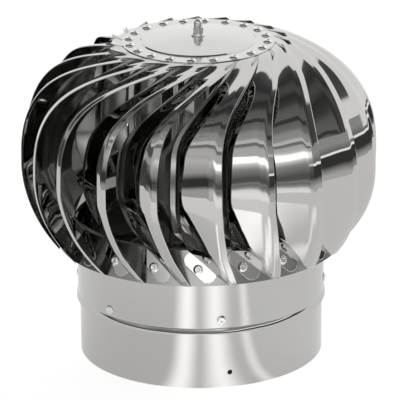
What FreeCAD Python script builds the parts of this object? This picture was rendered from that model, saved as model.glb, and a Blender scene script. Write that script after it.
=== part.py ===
"""A free-spinning ball cowl for a round flue: a vaned rotor on a shaft above a fixed neck.

Millimetres. The origin is the centre of the neck's bottom rim and +Z is the spin axis, up.
Azimuths are in degrees from the front, which is -Y, and grow towards +X.
"""
import FreeCAD, Part

import math
import os

from FreeCAD import Vector

os.makedirs("parts", exist_ok=True)

# Neck
flue_radius = 100.0
neck_sheet = 0.8
spigot_height = 70.0
swage_rise = 0.8
swage_height = 1.0
sleeve_bottom = 46.0
sleeve_top = 112.0
drip_height = 6.6
drip_flare = 1.3
sleeve_bead = 2.2

# Fixing hole near the bottom of the spigot
screw_hole_radius = 2.1
screw_hole_height = 12.6
screw_hole_azimuth = 13.1

# Straps across the neck, stacked on one another
strap_azimuths = (-46.7, 9.3, 85.0)
strap_width = 20.0
strap_thickness = 2.0
strap_seat = 48.3
strap_leg = 16.0
strap_bend = 3.0
strap_rivet_rise = 8.3

# Blind rivets: flat domed head, shank and the upset end behind the sheet
rivet_radius = 2.0
rivet_head_radius = 4.0
rivet_crown_radius = 2.4
rivet_head_height = 1.5
rivet_end_radius = 2.9
rivet_end_height = 2.0

# Bearings and what holds them
shaft_radius = 4.0
bearing_radius = 11.0
bearing_width = 7.0
inner_race_wall = 1.9
outer_race_wall = 1.9
ball_count = 7
track_depth = 0.3
ball_clearance = 0.06
race_chamfer = 0.4
bearing_span = 28.0
housing_wall = 3.0
housing_flange_radius = 20.0
housing_flange_height = 3.0
housing_floor = 3.0
housing_spigot_radius = 8.0
housing_spigot_length = 15.0
spigot_bore = 5.0
housing_lip = 2.6
washer_height = 1.6
washer_radius = 15.0
nut_height = 6.0
nut_flats = 24.0
circlip_height = 1.0
circlip_depth = 0.7
circlip_rim = 1.5
spacer_wall = 1.5
fit_clearance = 0.05

# Shaft and rotor hub
shaft_tail = 5.0
collar_radius = 6.0
cap_radius = 18.0
cap_sheet = 0.8
cap_skirt = 9.0
cap_gap = 1.0
clip_radius = 8.0
clip_height = 0.6
thread_radius = 2.5
hub_boss_radius = 9.0
hub_boss_height = 15.0
hub_flange_radius = 20.0
hub_flange_height = 3.0
hub_web = 4.0
plate_radius = 21.0
plate_height = 1.5

# Top disc, with its washers and cap nut
disc_radius = 62.0
disc_sheet = 0.8
disc_underside = 261.4
panel_radius = 46.0
panel_slope = 1.2
panel_step = 1.0
clamped_radius = 22.0
centre_rise = 4.3
top_washer_radius = 5.7
top_washer_height = 1.2
spring_washer_radius = 4.5
spring_washer_height = 1.3
spring_washer_slot = 0.8
cap_nut_flats = 8.0
cap_nut_hex_height = 4.6
cap_nut_dome_radius = 3.6
cap_nut_dome_height = 3.4
cap_nut_gap = 1.0

# Lower ring, a skirt that is wider at the bottom
ring_bottom = 94.0
ring_top = 121.5
ring_reach = 17.0
ring_taper = 8.0
ring_bottom_radius = flue_radius + ring_reach
ring_top_radius = ring_bottom_radius - ring_taper
ring_sheet = 0.8
ring_flange = 4.5

# Vanes: the ball that their lips lie on
vane_count = 20
first_vane = -15.0
head_radius = 146.0
equator_height = 165.0
crown_over_disc = 5.6
crown_rise = disc_underside + crown_over_disc - equator_height
crown_power = 2.55
belly_power = 2.0
lip_overhang = 1.73
lip_end = ((ring_bottom_radius + lip_overhang) / head_radius) ** belly_power
belly_drop = (equator_height - ring_bottom) / (1 - lip_end) ** (1 / belly_power)

# Vanes: how far a lip sweeps round the ball towards the disc and towards the ring
crown_sweep = 126.0
crown_sweep_power = 1.8
belly_sweep = 11.0
belly_sweep_power = 1.2

# Vanes: cross-section, from the lip in to the hidden edge
vane_sheet = 0.6
equator_gap = 16.9
rim_gap = 2.0
gap_power = 2.0
vane_depth = 25.0
depth_power = 2.0
vane_foot_depth = 31.0
vane_tab_width = 16.0
lip_band = 5.6
lip_turn = 5.0
lip_band_depth = 1.1
lip_turn_depth = 3.0
tab_reach = 11.0
tab_radius = disc_radius - tab_reach
rim_start = 1.0
rim_blend = 6.0
vane_stations = 12
halvings = 30

# Vanes: rivets and feet
disc_rivet_edge = 5.7
disc_rivet_radius = disc_radius - disc_rivet_edge
disc_rivet_inset = 7.0
foot_rivet_height = 107.0
foot_rivet_reach = 10.6
foot_half_length = 8.0
foot_radius = 7.2
foot_shift = 2.3
foot_slope = 42.0

# How far a cutter runs past what it cuts
overcut = 5.0

axis_up = Vector(0, 0, 1)
centre = Vector(0, 0, 0)
pitch = 360.0 / vane_count


def at(radius, azimuth, height):
    """The point at a radius, azimuth and height."""
    angle = math.radians(azimuth)
    return Vector(radius * math.sin(angle), -radius * math.cos(angle), height)


def turned(points):
    """A solid of revolution about the axis, from its half outline as (radius, height) points."""
    corners = [Vector(r, 0, z) for r, z in points]
    return Part.Face(Part.makePolygon(corners + corners[:1])).revolve(centre, axis_up, 360)


def tube(inner, outer, bottom, top):
    """A round tube on the axis."""
    return turned([(inner, bottom), (outer, bottom), (outer, top), (inner, top)])


def through_hole(radius, seat, outward, grip):
    """The round hole that goes in at seat and through grip."""
    return Part.makeCylinder(radius, grip + 2 * overcut, seat + outward * overcut, -outward)


def hexagon(flats, bottom, height):
    """A hexagonal prism on the axis."""
    corner = flats / 2 / math.cos(math.pi / 6)
    points = [at(corner, 60 * i, bottom) for i in range(6)]
    return Part.Face(Part.makePolygon(points + points[:1])).extrude(Vector(0, 0, height))


def rivet(seat, outward, grip):
    """A blind rivet whose head stands on seat and whose shank goes through grip."""
    outline = [
        (0, -grip - rivet_end_height),
        (rivet_end_radius, -grip - rivet_end_height),
        (rivet_end_radius, -grip),
        (rivet_radius, -grip),
        (rivet_radius, 0),
        (rivet_head_radius, 0),
        (rivet_crown_radius, rivet_head_height),
        (0, rivet_head_height),
    ]
    shape = turned(outline)
    shape.Placement = FreeCAD.Placement(seat, FreeCAD.Rotation(axis_up, outward))
    return shape


def patterned(shape, angles):
    """One copy of a shape for each angle about the axis."""
    copies = []
    for angle in angles:
        copy = shape.copy()
        copy.rotate(centre, axis_up, angle)
        copies.append(copy)
    return copies


# Neck: spigot, sleeve, straps and their rivets

swaged_radius = flue_radius + swage_rise
swaged_bore_radius = swaged_radius - neck_sheet
sleeve_radius = swaged_radius + neck_sheet
fit_length = sleeve_bottom - swage_height


def strap_base(index):
    """Underside of a strap's flat part: each strap lies on the one before it."""
    return strap_seat + index * strap_thickness


strap_face_radius = swaged_bore_radius - strap_thickness
neck_grip = 2 * neck_sheet + strap_thickness + rivet_end_radius**2 / (2 * strap_face_radius)
neck_rivet_holes = []
neck_rivets = []
for index, strap_azimuth in enumerate(strap_azimuths):
    for azimuth in (strap_azimuth, strap_azimuth + 180):
        seat = at(sleeve_radius, azimuth, strap_base(index) + strap_rivet_rise)
        outward = at(1, azimuth, 0)
        neck_rivets.append(rivet(seat, outward, neck_grip))
        neck_rivet_holes.append(through_hole(rivet_radius, seat, outward, neck_grip))


def make_spigot():
    """The tube that goes in the flue, with the fixing hole near its bottom and a swaged upper end."""
    outline = [
        (flue_radius - neck_sheet, 0),
        (flue_radius, 0),
        (flue_radius, fit_length),
        (swaged_radius, sleeve_bottom),
        (swaged_radius, spigot_height),
        (swaged_bore_radius, spigot_height),
        (swaged_bore_radius, sleeve_bottom),
        (flue_radius - neck_sheet, fit_length),
    ]
    body = turned(outline)
    seat = at(flue_radius, screw_hole_azimuth, screw_hole_height)
    hole = through_hole(screw_hole_radius, seat, at(1, screw_hole_azimuth, 0), neck_sheet)
    return body.cut([hole] + neck_rivet_holes)


def make_sleeve():
    """The upper tube, with a flared drip edge at the bottom and a turned-out rim at the top."""
    flare_top = sleeve_bottom + drip_height
    outline = [
        (swaged_radius + drip_flare, sleeve_bottom),
        (sleeve_radius + drip_flare, sleeve_bottom),
        (sleeve_radius, flare_top),
        (sleeve_radius, sleeve_top - neck_sheet),
        (sleeve_radius + sleeve_bead, sleeve_top - neck_sheet),
        (sleeve_radius + sleeve_bead, sleeve_top),
        (swaged_radius, sleeve_top),
        (swaged_radius, flare_top),
    ]
    return turned(outline).cut(neck_rivet_holes)


def make_strap(index):
    """A flat bar across the neck, with its ends bent up against the spigot's wall."""
    base = strap_base(index)
    top = base + strap_thickness
    tip = base + strap_leg
    outer = swaged_bore_radius
    inner = strap_face_radius
    outside = strap_bend + strap_thickness
    start = outer - outside
    bend_top = base + outside
    slant = math.sqrt(0.5)
    outer_middle = Vector(start + outside * slant, 0, bend_top - outside * slant)
    inner_middle = Vector(start + strap_bend * slant, 0, bend_top - strap_bend * slant)
    edges = [
        Part.LineSegment(Vector(0, 0, base), Vector(start, 0, base)),
        Part.Arc(Vector(start, 0, base), outer_middle, Vector(outer, 0, bend_top)),
        Part.LineSegment(Vector(outer, 0, bend_top), Vector(outer, 0, tip)),
        Part.LineSegment(Vector(outer, 0, tip), Vector(inner, 0, tip)),
        Part.LineSegment(Vector(inner, 0, tip), Vector(inner, 0, bend_top)),
        Part.Arc(Vector(inner, 0, bend_top), inner_middle, Vector(start, 0, top)),
        Part.LineSegment(Vector(start, 0, top), Vector(0, 0, top)),
        Part.LineSegment(Vector(0, 0, top), Vector(0, 0, base)),
    ]
    dish = Part.Face(Part.Wire([e.toShape() for e in edges])).revolve(centre, axis_up, 360)
    bar = Part.makeBox(strap_width, 2 * flue_radius, strap_leg + 2 * overcut)
    bar.translate(Vector(-strap_width / 2, -flue_radius, base - overcut))
    bar.rotate(centre, axis_up, strap_azimuths[index])
    middle = Part.makeCylinder(housing_spigot_radius, strap_leg + 2 * overcut, Vector(0, 0, base - overcut))
    return dish.common(bar).cut([middle] + neck_rivet_holes)


# Bearing housing on the straps

straps_top = strap_base(len(strap_azimuths))
housing_radius = bearing_radius + housing_wall
lower_bearing = straps_top + housing_flange_height + housing_floor
upper_bearing = lower_bearing + bearing_width + bearing_span
stack_top = upper_bearing + bearing_width
housing_top = stack_top + circlip_height + housing_lip
ball_path = (shaft_radius + bearing_radius) / 2
inner_race_radius = shaft_radius + inner_race_wall
outer_race_bore = bearing_radius - outer_race_wall
ball_radius = (outer_race_bore - inner_race_radius) / 2 + track_depth


def make_housing():
    """The turned housing: threaded spigot down through the straps, flange, and one long bearing bore."""
    spigot_end = straps_top - housing_spigot_length
    flange_top = straps_top + housing_flange_height
    groove = bearing_radius + circlip_depth
    outline = [
        (spigot_bore, spigot_end),
        (housing_spigot_radius, spigot_end),
        (housing_spigot_radius, straps_top),
        (housing_flange_radius, straps_top),
        (housing_flange_radius, flange_top),
        (housing_radius, flange_top),
        (housing_radius, housing_top),
        (bearing_radius, housing_top),
        (bearing_radius, stack_top + circlip_height),
        (groove, stack_top + circlip_height),
        (groove, stack_top),
        (bearing_radius, stack_top),
        (bearing_radius, lower_bearing),
        (outer_race_bore, lower_bearing),
        (outer_race_bore, flange_top),
        (spigot_bore, flange_top),
    ]
    return turned(outline)


def race_groove(height):
    """The ring-shaped track that the balls run in."""
    return Part.makeTorus(ball_path, ball_radius + ball_clearance, Vector(0, 0, height), axis_up)


def make_outer_race(bottom):
    """A bearing's outer race, with its ball track."""
    body = turned(
        [
            (outer_race_bore, bottom),
            (bearing_radius - race_chamfer, bottom),
            (bearing_radius, bottom + race_chamfer),
            (bearing_radius, bottom + bearing_width - race_chamfer),
            (bearing_radius - race_chamfer, bottom + bearing_width),
            (outer_race_bore, bottom + bearing_width),
        ]
    )
    return body.cut(race_groove(bottom + bearing_width / 2))


def make_inner_race(bottom):
    """A bearing's inner race, with its ball track."""
    body = tube(shaft_radius, inner_race_radius, bottom, bottom + bearing_width)
    return body.cut(race_groove(bottom + bearing_width / 2))


def make_balls(bottom):
    """A bearing's balls, evenly spaced."""
    ball = Part.makeSphere(ball_radius, at(ball_path, 0, bottom + bearing_width / 2))
    return Part.makeCompound(patterned(ball, [360.0 * i / ball_count for i in range(ball_count)]))


def make_housing_circlip():
    """The ring in the housing's groove that keeps the bearings in."""
    outer = bearing_radius + circlip_depth
    return tube(bearing_radius - circlip_rim, outer, stack_top, stack_top + circlip_height)


def make_housing_washer():
    """The washer between the lowest strap and the housing's nut."""
    return tube(housing_spigot_radius, washer_radius, strap_seat - washer_height, strap_seat)


def make_housing_nut():
    """The thin hexagon nut that holds the housing on the straps."""
    top = strap_seat - washer_height
    body = hexagon(nut_flats, top - nut_height, nut_height)
    return body.cut(Part.makeCylinder(housing_spigot_radius, top, centre))


# Shaft, hub and what turns with them

shaft_bottom = lower_bearing - shaft_tail
shaft_groove_top = lower_bearing - fit_clearance
cap_underside = housing_top + cap_gap
panel_underside = disc_underside + centre_rise
plate_underside = panel_underside - plate_height
hub_underside = plate_underside - hub_flange_height
shaft_shoulder = hub_underside - hub_web
panel_top = panel_underside + disc_sheet
spring_washer_base = panel_top + top_washer_height
cap_nut_base = spring_washer_base + spring_washer_height
cap_nut_hex_top = cap_nut_base + cap_nut_hex_height
cap_nut_top = cap_nut_hex_top + cap_nut_dome_height + cap_nut_dome_radius
thread_end = cap_nut_top - cap_nut_dome_radius - cap_nut_gap


def make_shaft():
    """The shaft: a tail with a clip groove, a collar on the upper inner race and a threaded end."""
    groove_bottom = shaft_groove_top - circlip_height
    groove = shaft_radius - circlip_depth
    outline = [
        (0, shaft_bottom),
        (shaft_radius, shaft_bottom),
        (shaft_radius, groove_bottom),
        (groove, groove_bottom),
        (groove, shaft_groove_top),
        (shaft_radius, shaft_groove_top),
        (shaft_radius, stack_top),
        (collar_radius, stack_top),
        (collar_radius, cap_underside),
        (shaft_radius, cap_underside),
        (shaft_radius, shaft_shoulder),
        (thread_radius, shaft_shoulder),
        (thread_radius, thread_end),
        (0, thread_end),
    ]
    return turned(outline)


def make_shaft_circlip():
    """The ring in the shaft's groove, under the lower inner race."""
    outer = shaft_radius + circlip_rim
    bottom = shaft_groove_top - circlip_height
    return tube(shaft_radius - circlip_depth, outer, bottom, shaft_groove_top)


def make_dust_cap():
    """The cup on the shaft that keeps rain off the bearings."""
    top = cap_underside + cap_sheet
    outline = [
        (shaft_radius, cap_underside),
        (cap_radius - cap_sheet, cap_underside),
        (cap_radius - cap_sheet, cap_underside - cap_skirt),
        (cap_radius, cap_underside - cap_skirt),
        (cap_radius, top),
        (shaft_radius, top),
    ]
    return turned(outline)


def make_cap_clip():
    """The push-on washer that keeps the dust cap on the collar."""
    bottom = cap_underside + cap_sheet
    return tube(shaft_radius, clip_radius, bottom, bottom + clip_height)


def make_hub():
    """The flanged hub between the shaft's shoulder and the disc."""
    flange_top = hub_underside + hub_flange_height
    boss_bottom = hub_underside - hub_boss_height
    outline = [
        (shaft_radius, boss_bottom),
        (hub_boss_radius, boss_bottom),
        (hub_boss_radius, hub_underside),
        (hub_flange_radius, hub_underside),
        (hub_flange_radius, flange_top),
        (thread_radius, flange_top),
        (thread_radius, shaft_shoulder),
        (shaft_radius, shaft_shoulder),
    ]
    return turned(outline)


def make_plate():
    """The stiffening plate inside the disc's raised panel."""
    return tube(thread_radius, plate_radius, plate_underside, panel_underside)


def make_top_disc():
    """The pressed disc: a flat rim, a small step, a shallow cone and a flat centre for the hub."""
    foot = panel_radius + panel_slope
    underside = [
        (thread_radius, panel_underside),
        (clamped_radius, panel_underside),
        (panel_radius, disc_underside + panel_step),
        (foot, disc_underside),
        (disc_radius, disc_underside),
    ]
    topside = [(r, z + disc_sheet) for r, z in underside]
    return turned(underside + topside[::-1]).cut(disc_rivet_holes)


def make_spring_washer():
    """The split spring washer under the cap nut."""
    body = tube(thread_radius, spring_washer_radius, spring_washer_base, cap_nut_base)
    slot = Part.makeBox(spring_washer_slot, spring_washer_radius, 2 * overcut)
    slot.translate(Vector(-spring_washer_slot / 2, 0, spring_washer_base - overcut))
    return body.cut(slot)


def make_cap_nut():
    """The domed nut: hexagon, short neck and half ball, with a blind thread hole."""
    body = hexagon(cap_nut_flats, cap_nut_base, cap_nut_hex_height)
    neck_top = cap_nut_hex_top + cap_nut_dome_height
    neck = Part.makeCylinder(cap_nut_dome_radius, cap_nut_dome_height, Vector(0, 0, cap_nut_hex_top))
    dome = Part.makeSphere(cap_nut_dome_radius, Vector(0, 0, neck_top))
    hole = Part.makeCylinder(thread_radius, thread_end - cap_nut_base, Vector(0, 0, cap_nut_base))
    return body.fuse([neck, dome]).removeSplitter().cut(hole)


# Lower ring

ring_lean = (ring_top_radius - ring_bottom_radius) / (ring_top - ring_bottom)


def ring_radius(height):
    """Outside radius of the ring's cone at a height."""
    return ring_bottom_radius + (height - ring_bottom) * ring_lean


def ring_normal(azimuth):
    """Outward normal of the ring's cone at an azimuth."""
    length = math.hypot(1, ring_lean)
    flat = at(1 / length, azimuth, 0)
    return Vector(flat.x, flat.y, -ring_lean / length)


def make_ring():
    """The conical skirt, with a flange turned in at its top."""
    outline = [
        (ring_bottom_radius - ring_sheet, ring_bottom),
        (ring_bottom_radius, ring_bottom),
        (ring_top_radius, ring_top),
        (ring_top_radius - ring_flange, ring_top),
        (ring_top_radius - ring_flange, ring_top - ring_sheet),
        (ring_radius(ring_top - ring_sheet) - ring_sheet, ring_top - ring_sheet),
    ]
    return turned(outline).cut(ring_rivet_holes)


# Vanes


def lip_outline(angle):
    """Radius, height and inward normal of the ball at an angle above its equator."""
    turn = math.radians(angle)
    if angle >= 0:
        power = crown_power
        rise = crown_rise
    else:
        power = belly_power
        rise = belly_drop
    reach = math.cos(turn) ** (2 / power)
    climb = abs(math.sin(turn)) ** (2 / power)
    side = 1 if angle >= 0 else -1
    out = reach ** (power - 1) / head_radius
    up = side * climb ** (power - 1) / rise
    length = math.hypot(out, up)
    height = equator_height + side * rise * climb
    return head_radius * reach, height, out / length, up / length


def lip_sweep(radius, height):
    """Azimuth of a lip, measured from where it crosses the equator."""
    if height >= equator_height:
        return crown_sweep * (1 - min(radius / head_radius, 1)) ** crown_sweep_power
    fallen = (equator_height - height) / (equator_height - ring_bottom)
    return belly_sweep * fallen**belly_sweep_power


def cover(radius):
    """How far a lip lies from the next one towards -azimuth, along its own tangent."""
    across = 0.0
    for _ in range(12):
        turn = lip_sweep(radius, disc_underside) - lip_sweep(math.hypot(radius, across), disc_underside)
        across = radius * math.tan(math.radians(pitch + turn))
    return across


def sheet_line(width, depth):
    """The sheet's section as (distance, depth) points: lip, two creases and the hidden edge."""
    sag = depth / vane_depth
    band = (lip_band, lip_band_depth * sag)
    crease = (lip_band + lip_turn, (lip_band_depth + lip_turn_depth) * sag)
    return [(0.0, 0.0), band, crease, (width, depth)]


def section(lip, across, inward, width, depth):
    """The closed outline of the sheet at one station."""
    line = sheet_line(width, depth)
    back = []
    for i, (x, y) in enumerate(line):
        before = line[max(i - 1, 0)]
        after = line[min(i + 1, len(line) - 1)]
        slope = math.atan2(after[1] - before[1], after[0] - before[0])
        back.append((x - vane_sheet * math.sin(slope), y + vane_sheet * math.cos(slope)))
    points = [lip + across * x + inward * y for x, y in line + back[::-1]]
    return Part.makePolygon(points + points[:1])


def vane_frame(radius, sweep):
    """Directions at a lip point: across the vane, away from the lip, and straight out."""
    angle = math.radians(sweep)
    across = Vector(-math.cos(angle), -math.sin(angle), 0)
    outward = Vector(math.sin(angle), -math.cos(angle), 0)
    return across, outward


def ball_station(angle):
    """Lip, directions, width and depth of the sheet at an angle above the ball's equator."""
    radius, height, out, up = lip_outline(angle)
    sweep = lip_sweep(radius, height)
    across, outward = vane_frame(radius, sweep)
    inward = outward * -out - Vector(0, 0, up)
    if angle >= 0:
        reached = (head_radius - radius) / (head_radius - disc_radius)
        width = cover(radius) - rim_gap - (equator_gap - rim_gap) * (1 - reached) ** gap_power
        depth = vane_depth * (1 - reached**depth_power)
    else:
        fallen = (equator_height - height) / (equator_height - ring_bottom)
        width = cover(head_radius) - equator_gap
        depth = vane_depth + (vane_foot_depth - vane_depth) * fallen
    return at(radius, sweep, height), across, inward, width, max(depth, 0.0)


def ring_meeting(angle):
    """Azimuth and height where the sheet meets the ring's cone, for a lip at an angle above the equator."""
    lip, across, inward, width, depth = ball_station(angle)
    near, far = [lip + across * x + inward * y for x, y in sheet_line(width, depth)[-2:]]
    for _ in range(halvings):
        middle = (near + far) / 2
        if math.hypot(middle.x, middle.y) > ring_radius(middle.z):
            near = middle
        else:
            far = middle
    return math.degrees(math.atan2(middle.x, -middle.y)), middle.z


def foot_line():
    """Azimuth where the sheet meets the ring's cone at the foot rivet's height."""
    low = -math.degrees(math.asin(((equator_height - ring_bottom) / belly_drop) ** (belly_power / 2)))
    high = 0.0
    for _ in range(halvings):
        angle = (low + high) / 2
        azimuth, height = ring_meeting(angle)
        if height < foot_rivet_height:
            low = angle
        else:
            high = angle
    return azimuth


def tab_section(radius, width):
    """The flat section of the tab under the disc."""
    across, outward = vane_frame(radius, lip_sweep(radius, disc_underside))
    lip = at(radius, lip_sweep(radius, disc_underside), disc_underside)
    return section(lip, across, Vector(0, 0, -1), width, 0.0)


def slot_wire(half_length, radius):
    """A rounded slot outline in the XY plane, long in X."""
    left = Vector(-half_length, 0, 0)
    right = Vector(half_length, 0, 0)
    rise = Vector(0, radius, 0)
    reach = Vector(radius, 0, 0)
    edges = [
        Part.LineSegment(left - rise, right - rise),
        Part.Arc(right - rise, right + reach, right + rise),
        Part.LineSegment(right + rise, left + rise),
        Part.Arc(left + rise, left - reach, left - rise),
    ]
    return Part.Wire([e.toShape() for e in edges])


foot_azimuth = foot_line() - math.degrees(foot_rivet_reach / ring_radius(foot_rivet_height))
foot_seat = at(ring_radius(foot_rivet_height) + vane_sheet, foot_azimuth, foot_rivet_height)
foot_out = ring_normal(foot_azimuth)
foot_grip = vane_sheet + ring_sheet
tab_lip = lip_sweep(disc_rivet_radius, disc_underside)
tab_azimuth = tab_lip - math.degrees(disc_rivet_inset / disc_rivet_radius)
tab_seat = at(disc_rivet_radius, tab_azimuth, disc_underside + disc_sheet)
tab_grip = disc_sheet + vane_sheet
vane_turns = [first_vane + pitch * i for i in range(vane_count)]
disc_rivets = patterned(rivet(tab_seat, axis_up, tab_grip), vane_turns)
disc_rivet_holes = patterned(through_hole(rivet_radius, tab_seat, axis_up, tab_grip), vane_turns)
ring_rivets = patterned(rivet(foot_seat, foot_out, foot_grip), vane_turns)
ring_rivet_holes = patterned(through_hole(rivet_radius, foot_seat, foot_out, foot_grip), vane_turns)


def make_foot():
    """The rounded foot that lies on the ring's cone."""
    outline = [
        (ring_bottom_radius, ring_bottom),
        (ring_bottom_radius + vane_sheet, ring_bottom),
        (ring_top_radius + vane_sheet, ring_top),
        (ring_top_radius, ring_top),
    ]
    start = ring_top_radius - foot_half_length - foot_radius
    length = ring_bottom_radius + overcut - start
    block = Part.Face(slot_wire(foot_half_length, foot_radius)).extrude(Vector(0, 0, length))
    block.translate(Vector(0, foot_shift, 0))
    block.rotate(centre, axis_up, -foot_slope)
    block.rotate(centre, Vector(1, 0, 0), 90)
    block.rotate(centre, axis_up, foot_azimuth)
    block.translate(at(start, foot_azimuth, foot_rivet_height))
    return turned(outline).common(block)


def make_vane():
    """One vane at azimuth 0: a creased sheet lofted along the ball, its tab and its foot."""
    fall = (equator_height - ring_bottom + overcut) / belly_drop
    bottom = -math.degrees(math.asin(fall ** (belly_power / 2)))
    top = math.degrees(math.acos(((disc_radius + rim_blend) / head_radius) ** (crown_power / 2)))
    step = (top - bottom) / vane_stations
    stations = [bottom + step * i for i in range(vane_stations + 1)]
    rim_radius = disc_radius + rim_start
    rim = tab_section(rim_radius, cover(rim_radius) - rim_gap)
    blade = Part.makeLoft([section(*ball_station(a)) for a in stations] + [rim], True, False)
    tab = Part.makeLoft([rim, tab_section(tab_radius, vane_tab_width)], True, True)
    cone_top = 2 * ring_top - ring_bottom
    outline = [
        (0, 0),
        (head_radius + overcut, 0),
        (head_radius + overcut, ring_bottom),
        (ring_bottom_radius, ring_bottom),
        (ring_radius(cone_top), cone_top),
        (0, cone_top),
    ]
    vane = blade.cut(turned(outline)).fuse([tab, make_foot()])
    foot_hole = through_hole(rivet_radius, foot_seat, foot_out, foot_grip)
    tab_hole = through_hole(rivet_radius, tab_seat, axis_up, tab_grip)
    return vane.cut([foot_hole, tab_hole])


def save(name, shape):
    """Writes one piece and prints what it is."""
    shape.exportStep(f"parts/{name}.step")
    print(f"{name}: {len(shape.Solids)} solids, {shape.Volume:.0f} mm3, valid {shape.isValid()}")


save("flue_spigot", make_spigot())
save("neck_sleeve", make_sleeve())
for number in range(len(strap_azimuths)):
    save(f"strap_{number + 1}", make_strap(number))
save("neck_rivets", Part.makeCompound(neck_rivets))
save("bearing_housing", make_housing())
save("housing_washer", make_housing_washer())
save("housing_nut", make_housing_nut())
save("housing_circlip", make_housing_circlip())
for place, bottom in (("lower", lower_bearing), ("upper", upper_bearing)):
    save(f"{place}_bearing_outer", make_outer_race(bottom))
    save(f"{place}_bearing_inner", make_inner_race(bottom))
    save(f"{place}_bearing_balls", make_balls(bottom))
spacer_bottom = lower_bearing + bearing_width
save("outer_spacer", tube(bearing_radius - spacer_wall, bearing_radius, spacer_bottom, upper_bearing))
save("inner_spacer", tube(shaft_radius, shaft_radius + spacer_wall, spacer_bottom, upper_bearing))
save("shaft", make_shaft())
save("shaft_circlip", make_shaft_circlip())
save("dust_cap", make_dust_cap())
save("cap_clip", make_cap_clip())
save("hub", make_hub())
save("stiffener_plate", make_plate())
save("top_disc", make_top_disc())
save("top_washer", tube(thread_radius, top_washer_radius, panel_top, spring_washer_base))
save("spring_washer", make_spring_washer())
save("cap_nut", make_cap_nut())
save("lower_ring", make_ring())
save("disc_rivets", Part.makeCompound(disc_rivets))
save("ring_rivets", Part.makeCompound(ring_rivets))
for number, vane in enumerate(patterned(make_vane(), vane_turns)):
    save(f"vane_{number + 1:02d}", vane)
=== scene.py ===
import math
import bmesh
import bpy
from mathutils import Matrix, Vector


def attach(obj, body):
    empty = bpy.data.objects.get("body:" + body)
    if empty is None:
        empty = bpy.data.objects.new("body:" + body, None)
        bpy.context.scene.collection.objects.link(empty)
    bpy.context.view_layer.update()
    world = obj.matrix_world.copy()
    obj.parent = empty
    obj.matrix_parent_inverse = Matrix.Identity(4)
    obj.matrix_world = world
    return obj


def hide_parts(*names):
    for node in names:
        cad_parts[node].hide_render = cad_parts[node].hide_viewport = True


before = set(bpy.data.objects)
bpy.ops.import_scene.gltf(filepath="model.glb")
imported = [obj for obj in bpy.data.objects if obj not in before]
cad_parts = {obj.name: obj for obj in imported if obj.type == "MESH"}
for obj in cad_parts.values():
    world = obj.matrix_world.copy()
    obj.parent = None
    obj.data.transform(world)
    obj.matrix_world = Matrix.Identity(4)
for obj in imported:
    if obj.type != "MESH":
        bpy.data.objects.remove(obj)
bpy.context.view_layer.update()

mm = 0.001
touching = 1e-6  # points closer than this, in metres, become one
sharpTurn = math.radians(28)  # edges that turn by more than this are rounded
up = Vector((0, 0, 1))
centre = (0, 0, 0)
scene = bpy.context.scene


# Small helpers

def polar(radius, azimuth, height):  # mm and degrees; azimuth 0 is the front, -Y, and grows towards +X
    angle = math.radians(azimuth)
    return Vector((radius * math.sin(angle), -radius * math.cos(angle), height)) * mm


def linkObject(name, bm):
    mesh = bpy.data.meshes.new(name)
    bm.to_mesh(mesh)
    bm.free()
    made = bpy.data.objects.new(name, mesh)
    scene.collection.objects.link(made)
    return made


def addInto(bm, other):  # moves the shape of one bmesh into another
    mesh = bpy.data.meshes.new("part")
    other.to_mesh(mesh)
    other.free()
    bm.from_mesh(mesh)
    bpy.data.meshes.remove(mesh)


def finishPiece(bm, name, body, material, nodes, weighted=True):
    bmesh.ops.remove_doubles(bm, verts=bm.verts, dist=touching)
    bmesh.ops.recalc_face_normals(bm, faces=bm.faces)
    for face in bm.faces:
        face.smooth = True
    piece = linkObject(name, bm)
    piece.data.materials.append(material)
    if weighted:
        piece.modifiers.new("evenNormals", "WEIGHTED_NORMAL")  # keeps wide faces flat beside small bevels
    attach(piece, body)
    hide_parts(*nodes)
    return piece


def bevelSharp(bm, width, segments):  # width in mm
    sharp = [e for e in bm.edges if len(e.link_faces) == 2 and e.calc_face_angle() > sharpTurn]
    bmesh.ops.bevel(bm, geom=sharp, offset=width * mm, segments=segments, profile=0.5, affect="EDGES",
                    material=-1)


def lathe(outline, steps=180, edge=0.15, seat=Vector(centre), along=up):  # spins a closed half outline, in mm
    bm = bmesh.new()
    points = [bm.verts.new((r * mm, 0, z * mm)) for r, z in outline]
    rim = [bm.edges.new((a, b)) for a, b in zip(points, points[1:] + points[:1])]
    rim = [e for e in rim if max(v.co.x for v in e.verts) > touching]
    bmesh.ops.spin(bm, geom=points + rim, axis=up, cent=centre, angle=math.tau, steps=steps, use_merge=True)
    bmesh.ops.remove_doubles(bm, verts=bm.verts, dist=touching)
    bmesh.ops.dissolve_degenerate(bm, dist=touching / 10, edges=bm.edges)
    bmesh.ops.recalc_face_normals(bm, faces=bm.faces)
    if edge:
        bevelSharp(bm, edge, 2)
    turn = up.rotation_difference(along).to_matrix().to_4x4()
    bmesh.ops.transform(bm, matrix=Matrix.Translation(seat) @ turn, verts=bm.verts)
    return bm


# Materials

sheetLook = {  # thin rolled sheet
    "waveMm": 38.0, "waveDepth": 0.028, "waveHeight": 20.0,  # a slow sway
    "patchMm": 55.0, "patchRange": (0.35, 0.75),  # duller patches, where it has been handled
}
grainLook = {"spread": 0.25, "height": 0.5}  # how the roughness varies, and the grain's height in mm


def toLinear(hexColour):
    channels = [int(hexColour[i:i + 2], 16) / 255 for i in (1, 3, 5)]
    return [c / 12.92 if c <= 0.04045 else ((c + 0.055) / 1.055) ** 2.4 for c in channels] + [1.0]


def addNode(tree, kind, inputs, output=0, **settings):  # each input is a value or another node's output
    node = tree.nodes.new("ShaderNode" + kind)
    for name, value in settings.items():
        setattr(node, name, value)
    for socket, source in inputs.items():
        if isinstance(source, bpy.types.NodeSocket):
            tree.links.new(source, node.inputs[socket])
        else:
            node.inputs[socket].default_value = source
    return node.outputs[output]


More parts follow.
